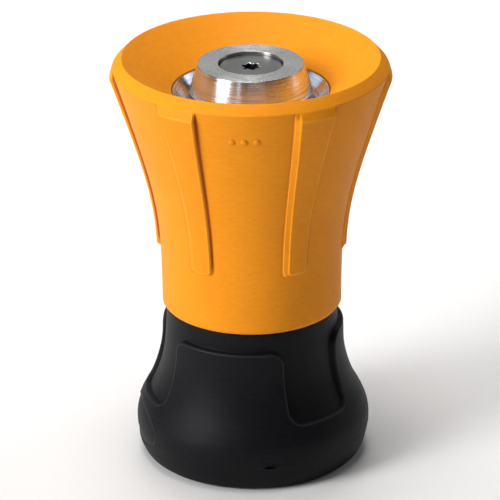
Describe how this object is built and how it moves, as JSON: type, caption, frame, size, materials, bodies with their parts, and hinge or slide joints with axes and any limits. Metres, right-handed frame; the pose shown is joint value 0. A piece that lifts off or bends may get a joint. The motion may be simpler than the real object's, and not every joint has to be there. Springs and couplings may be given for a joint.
{
  "type": "fire hose nozzle",
  "caption": "Twist-shutoff fog nozzle for a fire hose: ribbed flared bumper on a turning barrel, central deflector head, threaded hose inlet in a rubber boot.",
  "frame": {"origin": "centre of the boot's flat bottom face at the inlet end", "axes": "+Z along the waterway from inlet to outlet; -Y towards the viewer of the reference view; +X to that viewer's right"},
  "size_m": [0.0886, 0.0864, 0.134],
  "materials": {
    "turned_aluminium": "fine circumferential turning marks, satin",
    "dark_steel": "dull grey steel",
    "boot_rubber": "moulded black rubber, satin",
    "bumper_rubber": "moulded orange rubber, satin",
    "seal_rubber": "black sealing rubber",
    "glide_plastic": "off-white bearing plastic"
  },
  "bodies": {
    "base": {"inlet_coupling": "turned_aluminium", "inlet_gasket": "seal_rubber", "coupling_oring": "seal_rubber", "set_screw_1": "dark_steel", "set_screw_2": "dark_steel", "set_screw_3": "dark_steel", "rear_boot": "boot_rubber", "stem": "turned_aluminium", "stem_oring_rear": "seal_rubber", "stem_oring_front": "seal_rubber", "deflector_head": "turned_aluminium", "head_seal": "seal_rubber", "screw_washer": "dark_steel", "deflector_screw": "dark_steel"},
    "slide_rings": {"glide_ring": "glide_plastic", "wiper_ring": "seal_rubber"},
    "barrel_group": {"barrel": "turned_aluminium", "cam_pin_1": "dark_steel", "cam_pin_2": "dark_steel", "cam_pin_3": "dark_steel", "front_bumper": "bumper_rubber"}
  },
  "joints": [
    {"name": "barrel_advance", "type": "slide", "parent": "base", "child": "slide_rings", "axis": [0, 0, 1], "range_m": [0, 0.006]},
    {"name": "barrel_turn", "type": "hinge", "parent": "slide_rings", "child": "barrel_group", "pos_m": [0, 0, 0.08], "axis": [0, 0, 1], "range_deg": [0, 120]}
  ],
  "couplings": [
    {"joint": "barrel_advance", "follows": "barrel_turn", "m_per_rad": 0.0028648}
  ]
}
